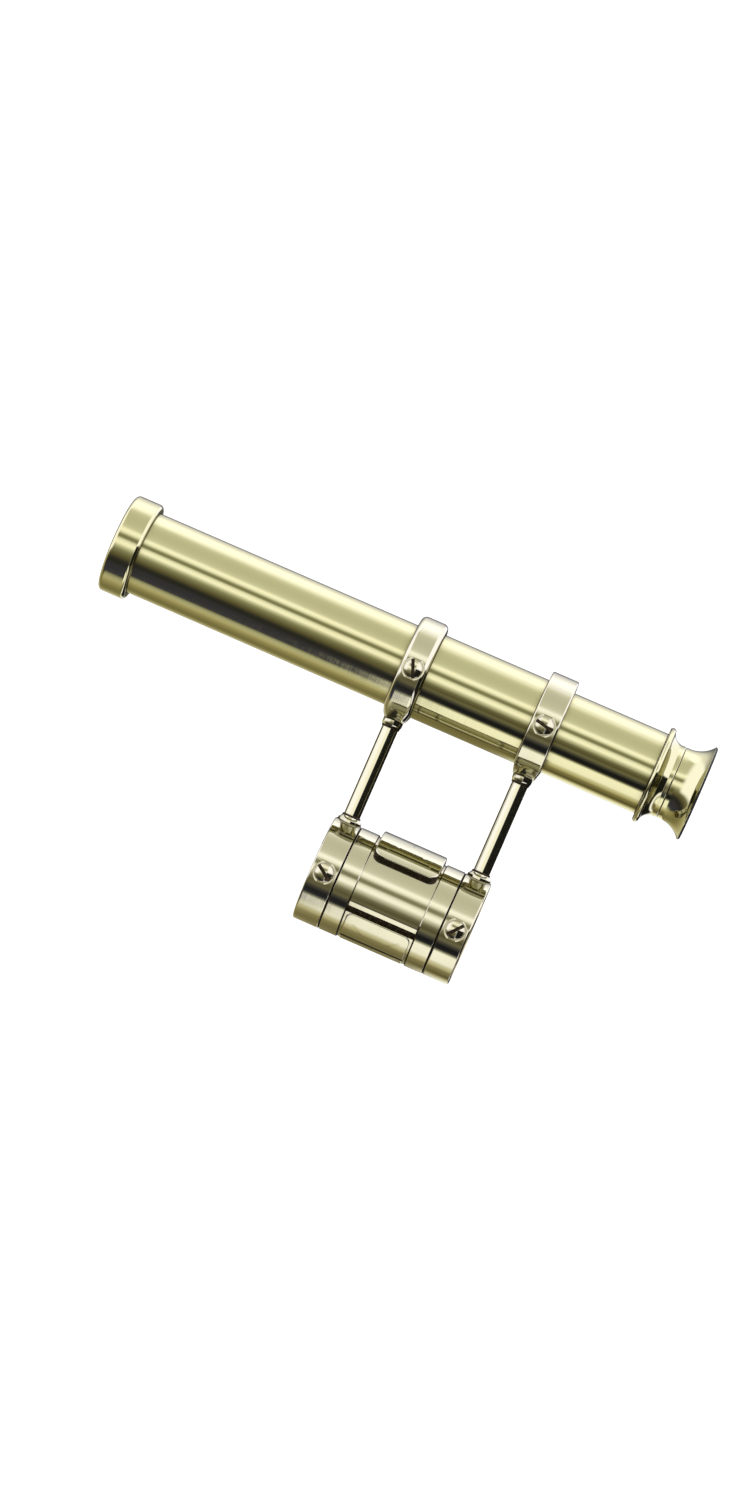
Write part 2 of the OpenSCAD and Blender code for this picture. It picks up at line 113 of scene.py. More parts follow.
def soften(points, radius, closed=True):
    """Rounds the corners of an outline of (place, radius) points with arcs."""
    result = []
    count, steps = len(points), 5
    for i, point in enumerate(points):
        p = Vector(point)
        if not closed and i in (0, count - 1):
            result.append(tuple(p))
            continue
        before = Vector(points[i - 1]) - p
        after = Vector(points[(i + 1) % count]) - p
        corner = before.angle(after)
        if corner > STRAIGHT or min(before.length, after.length) < 1e-6:
            result.append(tuple(p))
            continue
        side = min(before.length, after.length)
        reach = min(radius / math.tan(corner / 2), MOST_OF_SIDE * side)
        before.normalize()
        after.normalize()
        bulge = reach * math.tan(corner / 2)
        centre = p + (before + after).normalized() * math.hypot(reach, bulge)
        first, last = p + before * reach - centre, p + after * reach - centre
        sweep = first.angle_signed(last)
        for k in range(steps + 1):
            a = -sweep * k / steps
            spoke = Vector((first.x * math.cos(a) - first.y * math.sin(a),
                            first.x * math.sin(a) + first.y * math.cos(a)))
            result.append(tuple(centre + spoke))
    return result


def supported(points, margin=0.12 * MM, closed=True):
    """Adds a point close to each end of every long stretch, so that its shading stays flat."""
    result = []
    count = len(points)
    for i, point in enumerate(points):
        p = Vector(point)
        result.append(tuple(p))
        if not closed and i == count - 1:
            break
        step = Vector(points[(i + 1) % count]) - p
        if step.length > 6 * margin:
            result.append(tuple(p + step.normalized() * margin))
            result.append(tuple(p + step - step.normalized() * margin))
    return result


def arc(cx, cy, radius, start, end, steps):
    """Points on an arc about (cx, cy), angles in degrees."""
    angles = [math.radians(start + (end - start) * k / steps) for k in range(steps + 1)]
    return [(cx + radius * math.cos(a), cy + radius * math.sin(a)) for a in angles]


def mesh_object(name, verts, faces):
    """A mesh with its normals outwards, smooth but for its sharp edges."""
    mesh = bpy.data.meshes.new(name)
    mesh.from_pydata(verts, [], faces)
    bm = bmesh.new()
    bm.from_mesh(mesh)
    bmesh.ops.remove_doubles(bm, verts=bm.verts, dist=1e-8)
    bmesh.ops.recalc_face_normals(bm, faces=bm.faces)
    bm.to_mesh(mesh)
    bm.free()
    mesh.shade_smooth()
    mesh.set_sharp_from_angle(angle=SHARP)
    piece = bpy.data.objects.new(name, mesh)
    bpy.context.scene.collection.objects.link(piece)
    return piece


def revolve(name, outline, place, around=AROUND, closed=True):
    """Turns an outline of (place along the axis, radius) points. place(t, r, a) gives a point."""
    count = len(outline)
    verts = [place(t, r, TURN * k / around) for k in range(around) for t, r in outline]
    faces = []
    for k in range(around):
        here, there = k * count, (k + 1) % around * count
        for i in range(count if closed else count - 1):
            j = (i + 1) % count
            faces.append((here + i, here + j, there + j, there + i))
    return mesh_object(name, verts, faces)


def along_x(axis_z):
    """Placing function for a piece turned about an axis along X."""
    return lambda t, r, a: (t, r * math.sin(a), axis_z + r * math.cos(a))


def along_z(x):
    """Placing function for a piece turned about a post's axis."""
    return lambda t, r, a: (x + r * math.cos(a), r * math.sin(a), t)


def to_side(x, z):
    """Placing function for a piece turned about an axis that points to -Y."""
    return lambda t, r, a: (x + r * math.cos(a), -t, z + r * math.sin(a))


def turned(name, points, edge, axis_z=AXIS_Z):
    """A closed turned ring about X with every corner rounded."""
    return revolve(name, supported(soften(points, edge)), along_x(axis_z))


def cut(piece, cutter):
    """Cuts a solid out of a piece for good."""
    modifier = piece.modifiers.new("cut", "BOOLEAN")
    modifier.operation = "DIFFERENCE"
    modifier.solver = "EXACT"
    modifier.object = cutter
    graph = bpy.context.evaluated_depsgraph_get()
    graph.update()
    made = bpy.data.meshes.new_from_object(piece.evaluated_get(graph))
    piece.modifiers.clear()
    old, piece.data = piece.data, made
    bpy.data.meshes.remove(old)
    bpy.data.objects.remove(cutter)
    piece.data.name = piece.name
    piece.data.shade_smooth()
    piece.data.set_sharp_from_angle(angle=SHARP)


def block(name, low, high, turn=None):
    """A box, used as a cutter. turn is applied last."""
    xs, ys, zs = zip(low, high)
    verts = [Vector((x, y, z)) for x in xs for y in ys for z in zs]
    if turn is not None:
        verts = [turn @ v for v in verts]
    faces = [(0, 1, 3, 2), (4, 6, 7, 5), (0, 4, 5, 1), (2, 3, 7, 6), (0, 2, 6, 4), (1, 5, 7, 3)]
    return mesh_object(name, verts, faces)


# ---------------------------------------------------------------- materials


class NodeTree:
    """Short way to build a tree of shader nodes."""

    def __init__(self, tree):
        self.tree = tree
        self.tree.nodes.clear()

    def add(self, kind, **values):
        node = self.tree.nodes.new(kind)
        for key, value in values.items():
            setattr(node, key, value)
        return node

    def put(self, value, socket):
        """Sets a socket to a number or a colour, or links another node's output to it."""
        if isinstance(value, tuple):
            socket.default_value = (*value, 1)
        elif isinstance(value, (int, float)):
            socket.default_value = value
        else:
            self.tree.links.new(value, socket)

    def math(self, operation, a, b=0.0):
        node = self.add("ShaderNodeMath", operation=operation)
        self.put(a, node.inputs[0])
        self.put(b, node.inputs[1])
        return node.outputs[0]

    def step(self, value, low, high, to_low=0.0, to_high=1.0):
        """to_low where the value is below low, to_high where it is above high, smooth between them."""
        node = self.add("ShaderNodeMapRange", interpolation_type="SMOOTHSTEP")
        limits = {"Value": value, "From Min": low, "From Max": high, "To Min": to_low, "To Max": to_high}
        for name, limit in limits.items():
            self.put(limit, node.inputs[name])
        return node.outputs["Result"]

    def blend(self, amount, a, b):
        """From colour a to colour b as the amount goes from 0 to 1."""
        node = self.add("ShaderNodeMix", data_type="RGBA")
        self.put(amount, node.inputs["Factor"])
        first, second = [s for s in node.inputs if s.type == "RGBA"]
        self.put(a, first)
        self.put(b, second)
        return next(s for s in node.outputs if s.type == "RGBA")


class Material(NodeTree):
    """A material's node tree, with its shader and textures that stay with the object."""

    def __init__(self, name):
        self.material = bpy.data.materials.new(name)
        self.material.use_nodes = True
        super().__init__(self.material.node_tree)
        self.shader = self.add("ShaderNodeBsdfPrincipled")
        output = self.add("ShaderNodeOutputMaterial")
        self.put(self.shader.outputs[0], output.inputs["Surface"])
        self.place = self.add("ShaderNodeTexCoord").outputs["Object"]

    def shade(self, name, value):
        """Gives one of the shader's sockets a value."""
        self.put(value, self.shader.inputs[name])

    def stretched(self, scale):
        node = self.add("ShaderNodeMapping")
        node.inputs["Scale"].default_value = scale
        self.put(self.place, node.inputs["Vector"])
        return node.outputs[0]

    def noise(self, scale, detail=4, rough=0.55, stretch=None):
        node = self.add("ShaderNodeTexNoise")
        self.put(self.stretched(stretch) if stretch else self.place, node.inputs["Vector"])
        self.put(scale, node.inputs["Scale"])
        self.put(detail, node.inputs["Detail"])
        self.put(rough, node.inputs["Roughness"])
        return node.outputs[0]

    def sheltered(self, distance, low, high):
        """1 where other surfaces within the distance crowd round, 0 in the open."""
        node = self.add("ShaderNodeAmbientOcclusion", samples=4)
        self.put(distance, node.inputs["Distance"])
        return self.step(node.outputs["AO"], low, high, 1.0, 0.0)

    def bump(self, height, distance, strength, under=None):
        """A normal bumped by a height, on top of another normal if one is given."""
        node = self.add("ShaderNodeBump")
        self.put(strength, node.inputs["Strength"])
        self.put(distance, node.inputs["Distance"])
        self.put(height, node.inputs["Height"])
        if under is not None:
            self.put(under, node.inputs["Normal"])
        return node.outputs[0]


TUBE_LIGHT, TUBE_DEEP = (0.90, 0.86, 0.48), (0.85, 0.78, 0.39)
RING_LIGHT, RING_DEEP = (0.91, 0.87, 0.60), (0.89, 0.82, 0.50)
SPECK = (0.46, 0.33, 0.14)
# The first two browns on the next line are painted shade: one for wide coves, one for crevices and seams.
COVE_SHADE_BROWN, CREVICE_SHADE_BROWN, SHADOW_LINE_BROWN = (0.30, 0.22, 0.09), (0.07, 0.045, 0.02), (0.02, 0.014, 0.007)


def brass(name, line_stretch, light=TUBE_LIGHT, deep=TUBE_DEEP, gloss=0.04, shadow_lines=None):
    """Polished brass with fine tool lines, faint waviness and hazy patches, and painted shade darkening its
    crevices, seams and coves.

    line_stretch is large along the direction in which the tool lines follow each other. The last argument is
    how far a pair of painted dark shadow lines lies from the middle, if the piece has them.
    """
    n = Material(name)
    patches = n.step(n.noise(28, 5, 0.6), 0.38, 0.72)
    haze = n.step(n.noise(95, 6, 0.65), 0.42, 0.75)
    lines = n.noise(1, 3, 0.6, line_stretch)
    hairlines = n.step(n.noise(1, 2, 0.5, tuple(0.37 * s for s in line_stretch)), 0.62, 0.74)
    specks = n.step(n.noise(2600, 2, 0.5), 0.70, 0.78)
    # Ambient occlusion finds crevices and seams, then wider coves. The browns blended in there are painted
    # shade. Crevices are also made rougher, as grime would make them.
    crevice_shade_and_grime = n.sheltered(0.9 * MM, 0.35, 0.85)
    cove_shade = n.sheltered(3.5 * MM, 0.30, 0.90)

    tone = n.blend(n.math("MULTIPLY", patches, 0.30), light, deep)
    marks = ((specks, 0.35, SPECK), (cove_shade, 0.60, COVE_SHADE_BROWN), (crevice_shade_and_grime, 0.80, CREVICE_SHADE_BROWN))
    for mark, amount, colour in marks:
        tone = n.blend(n.math("MULTIPLY", mark, amount), tone, colour)
    # Two painted shadow lines along the piece, in dark brown.
    if shadow_lines is not None:
        tone = n.blend(shadow_line_pair(n, shadow_lines), tone, SHADOW_LINE_BROWN)
    n.shade("Base Color", tone)

    rough = gloss
    for mark, amount in ((haze, 0.03), (hairlines, 0.04), (lines, 0.015), (crevice_shade_and_grime, 0.28)):
        rough = n.math("ADD", rough, n.math("MULTIPLY", mark, amount))
    n.shade("Roughness", rough)

    waviness = n.bump(n.noise(60, 2, 0.5), 0.04 * MM, 0.7)
    n.shade("Normal", n.bump(lines, 0.004 * MM, 0.6, waviness))
    n.shade("Metallic", 1.0)
    return n.material


def shadow_line_pair(n, offset):
    """1 on two lines along X, one each side of the middle, where dark shadow lines are painted."""
    parts = n.add("ShaderNodeSeparateXYZ")
    n.put(n.place, parts.inputs[0])
    from_line = n.math("SUBTRACT", n.math("ABSOLUTE", parts.outputs["Y"]), offset)
    return n.step(n.math("ABSOLUTE", from_line), 0.8 * MM, 1.0 * MM, 1.0, 0.0)


def blackened(name):
    """Matte optical black over brass, rubbed thin in places."""
    n = Material(name)
    rubbed = n.step(n.noise(420, 6, 0.7), 0.60, 0.80)
    n.shade("Base Color", n.blend(rubbed, (0.012, 0.012, 0.013), (0.055, 0.048, 0.036)))
    n.shade("Roughness", n.step(n.noise(900, 5, 0.6), 0.3, 0.7, 0.42, 0.62))
    n.shade("Normal", n.bump(n.noise(3200, 3, 0.6), 0.01 * MM, 0.5))
    n.shade("Metallic", 0.2)
    return n.material


def tarnish_and_shade(name):
    """Old brass gone dark where no cloth reaches, used mostly as painted shade on slots, grooves, plate
    walls, joints and steps that lie in shade.
    """
    n = Material(name)
    worn = n.step(n.noise(700, 5, 0.65), 0.45, 0.75)
    n.shade("Base Color", n.blend(worn, (0.030, 0.021, 0.010), (0.12, 0.085, 0.035)))
    n.shade("Roughness", n.step(n.noise(1400, 4, 0.6), 0.3, 0.7, 0.30, 0.50))
    n.shade("Normal", n.bump(n.noise(2400, 3, 0.6), 0.01 * MM, 0.5))
    n.shade("Metallic", 0.8)
    return n.material


def coated_glass(name):
    """Clear optical glass with a faint coating colour, smears and a little dust."""
    n = Material(name)
    smear = n.step(n.noise(70, 4, 0.6, (1, 1, 2.4)), 0.5, 0.8)
    dust = n.step(n.noise(1500, 2, 0.5), 0.73, 0.80)
    n.shade("Roughness", n.math("ADD", n.math("MULTIPLY", smear, 0.03), n.math("MULTIPLY", dust, 0.3)))
    n.shade("Base Color", n.blend(dust, (0.93, 0.97, 0.985), (0.75, 0.75, 0.72)))
    n.shade("Specular Tint", (0.72, 0.62, 1.0))
    n.shade("Transmission Weight", 1.0)
    n.shade("IOR", 1.52)
    return n.material


ABOUT_X = (5200, 18, 18)    # tool lines that ring an axis along X
ABOUT_Z = (18, 18, 5200)    # tool lines that ring a post
FACING = (900, 18, 900)     # tool lines on a screw's head
TUBE_BRASS = brass("tube_brass", ABOUT_X)
TURNED_BRASS = brass("turned_brass", ABOUT_X, gloss=0.05)
RING_BRASS = brass("ring_brass", ABOUT_X, RING_LIGHT, RING_DEEP, 0.05)
# The belly plate carries a pair of painted shadow lines, 9.4 mm either side of its middle.
BELLY_BRASS = brass("belly_brass", ABOUT_X, RING_LIGHT, RING_DEEP, 0.05, shadow_lines=9.4 * MM)
POST_BRASS = brass("post_brass", ABOUT_Z, light=(0.91, 0.87, 0.58), gloss=0.05)
SCREW_BRASS = brass("screw_brass", FACING, light=(0.90, 0.84, 0.56), gloss=0.07)
BORE_BRASS = brass("bored_brass", ABOUT_X, light=(0.80, 0.70, 0.36), deep=(0.62, 0.48, 0.20), gloss=0.24)
BLACK = blackened("optical_black")
# Dark brass: some tarnish, but mostly painted shade where pieces lie in shade or show dark reflections.
TARNISH_AND_SHADE = tarnish_and_shade("tarnished_brass")
GLASS = coated_glass("coated_glass")


def round_edges(piece, width, segments, angle):
    """Rounds the edges of a piece that turn by more than an angle in degrees."""
    bevel = piece.modifiers.new("soft_edges", "BEVEL")
    bevel.width = width
    bevel.segments = segments
    bevel.limit_method = "ANGLE"
    bevel.angle_limit = math.radians(angle)


def finish_piece(piece, body, node, slot, *materials):
    """Gives a piece its materials and its body, and hides the CAD node it stands for."""
    for material in materials:
        piece.data.materials.append(material)
    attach(piece, body)
    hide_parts(node)


def paint_joint_shade(piece, low, high, top=1.0):
    """Gives the outside faces between two places along X, and below a height, the third material, which
    paints shade on them.
    """
    for face in piece.data.polygons:
        centre = face.center
        from_axis = math.hypot(centre.y, centre.z)
        if low < centre.x < high and from_axis > CLAMP_R + MM and centre.z < top:
            face.material_index = 2


def line_bore(piece, axis_z, limit):
    """Gives the faces nearer the axis than limit the piece's second material."""
    for face in piece.data.polygons:
        centre = face.center
        if math.hypot(centre.y, centre.z - axis_z) < limit:
            face.material_index = 1


# ---------------------------------------------------------------- tube


def make_tube():
    x0, x1 = span("main_tube", 0)
    tube = turned("main_tube_body", [(x0, TUBE_BORE_R), (x0, TUBE_R), (x1, TUBE_R), (x1, TUBE_BORE_R)],
                  edge=0.2 * MM)
    finish_piece(tube, FINDER, "main_tube", "polished_brass", TUBE_BRASS, BLACK)
    line_bore(tube, AXIS_Z, (TUBE_R + TUBE_BORE_R) / 2)


def make_tube_sleeve():
    x0, x1 = span("tube_sleeve", 0)
    outer = radius_of("tube_sleeve")
    sleeve = turned("tube_sleeve_band", [(x0, TUBE_R), (x0, outer), (x1, outer), (x1, TUBE_R)],
                    edge=0.3 * MM)
    finish_piece(sleeve, FINDER, "tube_sleeve", "polished_brass", TUBE_BRASS)


def make_objective_cell():
    x0, x1 = span("objective_cell", 0)
    outer = radius_of("objective_cell")
    rear = span("main_tube", 0)[0]
    recess_r, seat_r, bore_r = 19.9 * MM, LENS_R + FIT, 16.6 * MM
    ring_front = span("objective_ring", 0)[0]
    seat_x = span("flint_lens", 0)[1]
    face_x = rear + 1.1 * MM
    front_round, rear_round, bevel = 1.9 * MM, 1.7 * MM, 0.5 * MM
    outline = [
        (x0 + bevel, recess_r), (x0, recess_r + bevel), (x0, outer - front_round),
        *arc(x0 + front_round, outer - front_round, front_round, 172, 90, 9),
        *arc(face_x - rear_round, outer - rear_round, rear_round, 90, 6, 10), (face_x, TUBE_R),
        (rear, TUBE_R), (rear, TUBE_BORE_R), (x1, TUBE_BORE_R),
        (x1, bore_r), (seat_x, bore_r), (seat_x, seat_r), (ring_front, seat_r), (ring_front, recess_r)
    ]
    cell = turned("objective_cell_body", outline, edge=0.22 * MM)
    finish_piece(cell, FINDER, "objective_cell", "polished_brass", TURNED_BRASS, BLACK)
    line_bore(cell, AXIS_Z, recess_r + bevel / 2)


def make_objective_ring():
    x0, x1 = span("objective_ring", 0)
    outer, inner, bevel = radius_of("objective_ring"), 17.2 * MM, 0.4 * MM
    outline = [(x0, inner + bevel), (x0, outer), (x1, outer), (x1, inner)]
    ring = turned("objective_retaining_ring", outline, edge=0.12 * MM)
    notch, deep, reach = 1.0 * MM, 0.8 * MM, outer + MM
    cut(ring, block("notch", (x0 - deep, -notch, AXIS_Z - reach), (x0 + deep, notch, AXIS_Z + reach)))
    finish_piece(ring, FINDER, "objective_ring", "blackened_brass", BLACK)


def rise_of(curve, radius):
    """How far the middle of a round face stands above its rim."""
    return curve - math.sqrt(curve ** 2 - radius ** 2)


def lens_face(rim_x, rise, radius, outward, steps=18):
    """Points from a face's middle to its rim. outward is -1 for a front face and 1 for a rear one."""
    points = [(rim_x, radius * k / steps) for k in range(steps + 1)]
    if rise:
        curve = (radius ** 2 + rise ** 2) / (2 * abs(rise))
        side = outward * math.copysign(1, rise)
        points = [(x + side * (abs(rise) - rise_of(curve, r)), r) for x, r in points]
    return points


def make_lens(name, body, node, front, rear, radius):
    """A lens. front and rear give each face's place at its rim and its rise, positive outwards."""
    outline = lens_face(*front, radius, -1) + lens_face(*rear, radius, 1)[::-1]
    lens = revolve(name, outline, along_x(AXIS_Z), AROUND_LENS, closed=False)
    finish_piece(lens, body, node, "optical_glass", GLASS)


def make_lenses():
    front_rise, inner_rise = rise_of(FRONT_CURVE, LENS_R), rise_of(INNER_CURVE, LENS_R)
    x0, x1 = span("crown_lens", 0)
    make_lens("crown_lens_glass", FINDER, "crown_lens", (x0 + front_rise, front_rise),
              (x1 - inner_rise, inner_rise), LENS_R)
    x0, x1 = span("flint_lens", 0)
    make_lens("flint_lens_glass", FINDER, "flint_lens", (x0, -inner_rise), (x1, 0), LENS_R)
    eye_rise, field_rise = 2 * MM, 3 * MM
    x0, x1 = span("eye_lens", 0)
    make_lens("eye_lens_glass", EYEPIECE, "eye_lens", (x0 + eye_rise, eye_rise), (x1, 0),
              radius_of("eye_lens"))
    x0, x1 = span("field_lens", 0)
    make_lens("field_lens_glass", EYEPIECE, "field_lens", (x0, 0), (x1 - field_rise, field_rise),
              radius_of("field_lens"))


# ---------------------------------------------------------------- eyepiece end


def make_end_cap():
    x0, x1 = span("end_cap", 0)
    flange_x = span("main_tube", 0)[1]
    flange_r = radius_of("end_cap")
    flange_thick, cove, waist_length = 2.6 * MM, 5.2 * MM, 1.5 * MM
    front_round, rear_round, waist_step = 0.5 * MM, 0.9 * MM, 0.09 * MM
    bore, spigot_bore = DRAW_R + FIT, TUBE_BORE_R - 1.4 * MM
    half, flange_back = flange_thick / 2, flange_x + flange_thick
    waist_x, inner_x = x1 - waist_length, flange_x - MM
    outline = [
        (x0, spigot_bore), (x0, TUBE_BORE_R), (flange_x, TUBE_BORE_R), (flange_x, flange_r - front_round),
        *arc(flange_x + half, flange_r - half, half, 150, 30, 8),
        (flange_back, flange_r - rear_round), (flange_back, WAIST_R + cove),
        *arc(waist_x, WAIST_R + cove, cove, 183, 270, 16)[1:],
        (waist_x, WAIST_R + waist_step), (x1, WAIST_R), (x1, bore), (inner_x, bore), (inner_x, spigot_bore)
    ]
    cap = turned("end_cap_body", outline, edge=0.18 * MM)
    finish_piece(cap, FINDER, "end_cap", "polished_brass", TURNED_BRASS, TARNISH_AND_SHADE)
    # The flange's forward faces take the dark brass: painted shade on the step behind the tube.
    for face in cap.data.polygons:
        faces_forward = face.center.x < flange_x + front_round and face.normal.x < -0.35
        face.material_index = 1 if faces_forward else 0


def make_eyecup():
    x0, x1 = span("eyecup", 0)
    rim_r = radius_of("eyecup")
    collar, rim_thick, hole_r, lip, slack = 1.5 * MM, 1.1 * MM, 6.5 * MM, 0.3 * MM, 0.06 * MM
    draw_rear = span("draw_tube", 0)[1]
    flare_length = x1 - rim_thick - x0 - collar
    rise = rim_r - WAIST_R
    flare = (flare_length ** 2 + rise ** 2) / (2 * rise)
    sweep = math.degrees(math.asin(flare_length / flare))
    dish_rim, floor = rim_r - rim_thick, draw_rear + MM
    depth = x1 - lip - floor
    centre = floor + (depth ** 2 + dish_rim ** 2 - hole_r ** 2) / (2 * depth)
    dish = math.hypot(centre - floor, hole_r)
    low = math.degrees(math.atan2(dish_rim, centre - x1 + lip))
    high = math.degrees(math.atan2(hole_r, centre - floor))
    outline = [
        (x0, DRAW_R), (x0, WAIST_R),
        *arc(x0 + collar, WAIST_R + flare, flare, 270, 270 + sweep, 24),
        *arc(x1 - rim_thick, rim_r - rim_thick, rim_thick, 92, 6, 12),
        *arc(centre, 0, dish, 180 - low, 180 - high, 28), (draw_rear, hole_r), (draw_rear, DRAW_R)
    ]
    cup = turned("eyecup_body", outline, edge=0.16 * MM)
    finish_piece(cup, EYEPIECE, "eyecup", "polished_brass", TURNED_BRASS, BLACK)
    for face in cup.data.polygons:
        place = face.center
        from_axis = math.hypot(place.y, place.z - AXIS_Z)
        in_dish = math.hypot(place.x - centre, from_axis) < dish + slack
        on_lip = place.x > x1 - 0.95 * rim_thick and from_axis > dish_rim - 0.2 * MM
        face.material_index = 1 if in_dish or on_lip else 0


def make_draw_tube():
    x0, x1 = span("draw_tube", 0)
    wall = MM
    inner = DRAW_R - wall
    tube = turned("draw_tube_body", [(x0, inner), (x0, DRAW_R), (x1, DRAW_R), (x1, inner)], edge=0.2 * MM)
    finish_piece(tube, EYEPIECE, "draw_tube", "polished_brass", TUBE_BRASS, BLACK)
    line_bore(tube, AXIS_Z, DRAW_R - wall / 2)


# ---------------------------------------------------------------- rings and screws


def straight_band(x0, x1, outer, bevel):
    """Outside of a ring whose face is straight and whose edges are rounded off."""
    return [(x0, outer - bevel), *arc(x0 + bevel, outer - bevel, bevel, 165, 90, 5),
            *arc(x1 - bevel, outer - bevel, bevel, 90, 15, 5), (x1, outer - bevel)]


def shouldered_band(x0, x1, outer, radius):
    """Outside of a ring with rounded shoulders and a straight face between them."""
    return [*arc(x0 + radius, outer - radius, radius, 178, 90, 14),
            *arc(x1 - radius, outer - radius, radius, 90, 2, 14)]


def narrow_below(ring, x, start, end):
    """Narrows a ring about x, from no change at height start to its narrowest at height end."""
    for vertex in ring.data.vertices:
        if vertex.co.z < start:
            amount = (start - vertex.co.z) / (start - end)
            vertex.co.x = x + (vertex.co.x - x) * (1 - NARROWING * amount)


def make_ring(name, node, axis_z, outer, inner, screw, shoulder=0.0):
    """A ring with a flat for its screw. The two round the finder narrow towards their posts."""
    x0, x1 = span(node, 0)
    x = (x0 + x1) / 2
    if shoulder:
        face = shouldered_band(x0, x1, outer, shoulder)
    else:
        face = straight_band(x0, x1, outer, 0.8 * MM)
    ring = turned(name, [(x0, inner), *face, (x1, inner)], edge=0.2 * MM, axis_z=axis_z)
    seat = -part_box(screw)[0].y - HEAD_HEIGHT
    clear, beyond = HEAD_R + FLAT_MARGIN, outer + 2 * MM
    outline = [(seat, 0), (seat, clear), (beyond, clear), (beyond, 0)]
    cut(ring, revolve("seat", outline, to_side(x, axis_z), AROUND_SMALL, closed=False))
    finish_piece(ring, FINDER, node, "polished_brass", RING_BRASS, BORE_BRASS, TARNISH_AND_SHADE)
    if axis_z > 0:
        narrow_below(ring, x, axis_z - inner, axis_z - outer)
    else:
        # The clamp ring's edge against the sleeve gets a line of painted shade.
        inward = 1 if x < 0 else -1
        edge = x + inward * RING_HALF
        paint_joint_shade(ring, *sorted((edge, edge - inward * JOINT_SHADE_WIDTH)))
    line_bore(ring, axis_z, inner + SLACK)


def make_screw(name, node, body, axis_z, slot_angle):
    """A screw with a domed head. slot_angle is its slot's slope in degrees, seen from its head."""
    low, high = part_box(node)
    x = (low.x + high.x) / 2
    top, tip = -low.y, -high.y
    head, dome, side, edge, shank = 2.3 * MM, 1.0 * MM, 1.3 * MM, 0.4 * MM, 2.0 * MM
    sphere = (HEAD_R ** 2 + dome ** 2) / (2 * dome)
    reach = math.degrees(math.asin((HEAD_R - 0.35 * MM) / sphere))
    under = top - head
    outline = [
        (tip, 0), (tip, shank - edge), (tip + edge, shank), (under, shank), (under, HEAD_R),
        *arc(under + side - 0.1 * MM, HEAD_R - edge, edge, 90, 20, 5),
        *arc(top - sphere, 0, sphere, reach, 0, 12)[:-1], (top, 0)
    ]
    screw = revolve(name, outline, to_side(x, axis_z), AROUND_SMALL, closed=False)
    angle = math.radians(slot_angle)
    middle = Vector((x, 0, axis_z))
    turn = Matrix.Translation(middle) @ Matrix.Rotation(-angle, 4, "Y")
    width, deep, slack = 0.75 * MM, 1.2 * MM, 0.02 * MM
    cut(screw, block("slot", (-2 * HEAD_R, -top - MM, -width), (2 * HEAD_R, -top + deep, width), turn))
    # The slot's faces take the dark brass: painted shade, with a little dirt.
    across = Vector((-math.sin(angle), 0, math.cos(angle)))
    for face in screw.data.polygons:
        from_middle = abs((face.center - middle).dot(across))
        in_slot = from_middle < width + slack and -face.center.y > top - deep - slack
        face.material_index = 1 if in_slot else 0
    round_edges(screw, 0.09 * MM, 2, 50)
    finish_piece(screw, body, node, "screw_brass", SCREW_BRASS, TARNISH_AND_SHADE)


def make_rings():
    for end, shoulder in (("front", SHOULDER), ("rear", 0.0)):
        make_ring(f"{end}_tube_ring_body", f"{end}_tube_ring", AXIS_Z, TUBE_RING_R, TUBE_R,
                  f"{end}_ring_screw", shoulder)
    for end in ("front", "rear"):
        make_ring(f"{end}_clamp_ring_body", f"{end}_clamp_ring", 0, CLAMP_RING_R, CLAMP_R,
                  f"{end}_clamp_screw")
    for kind, end, axis_z, slot_angle in (("ring", "front", AXIS_Z, 113), ("ring", "rear", AXIS_Z, -13),
                                          ("clamp", "front", 0, -35), ("clamp", "rear", 0, 50)):
        node = f"{end}_{kind}_screw"
        make_screw(f"{node}_body", node, f"{kind}_screw_{end}", axis_z, slot_angle)


# ---------------------------------------------------------------- posts


def make_post(name, node):
    """A rod with a thinner stud at each end. Its shoulders are out of sight, in the ring and ferrule."""
    low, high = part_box(node)
    x = (low.x + high.x) / 2
    bottom = CLAMP_RING_R - 0.75 * MM
    top = AXIS_Z - TUBE_RING_R - 1.1 * MM
    stud = 2.5 * MM
    outline = [(low.z, 0), (low.z, stud), (bottom, stud), (bottom, POST_R), (top, POST_R), (top, stud),
               (high.z, stud), (high.z, 0)]
    outline = supported(soften(outline, 0.2 * MM, closed=False), closed=False)
    post = revolve(name, outline, along_z(x), AROUND_SMALL, closed=False)
    finish_piece(post, FINDER, node, "polished_brass", POST_BRASS)


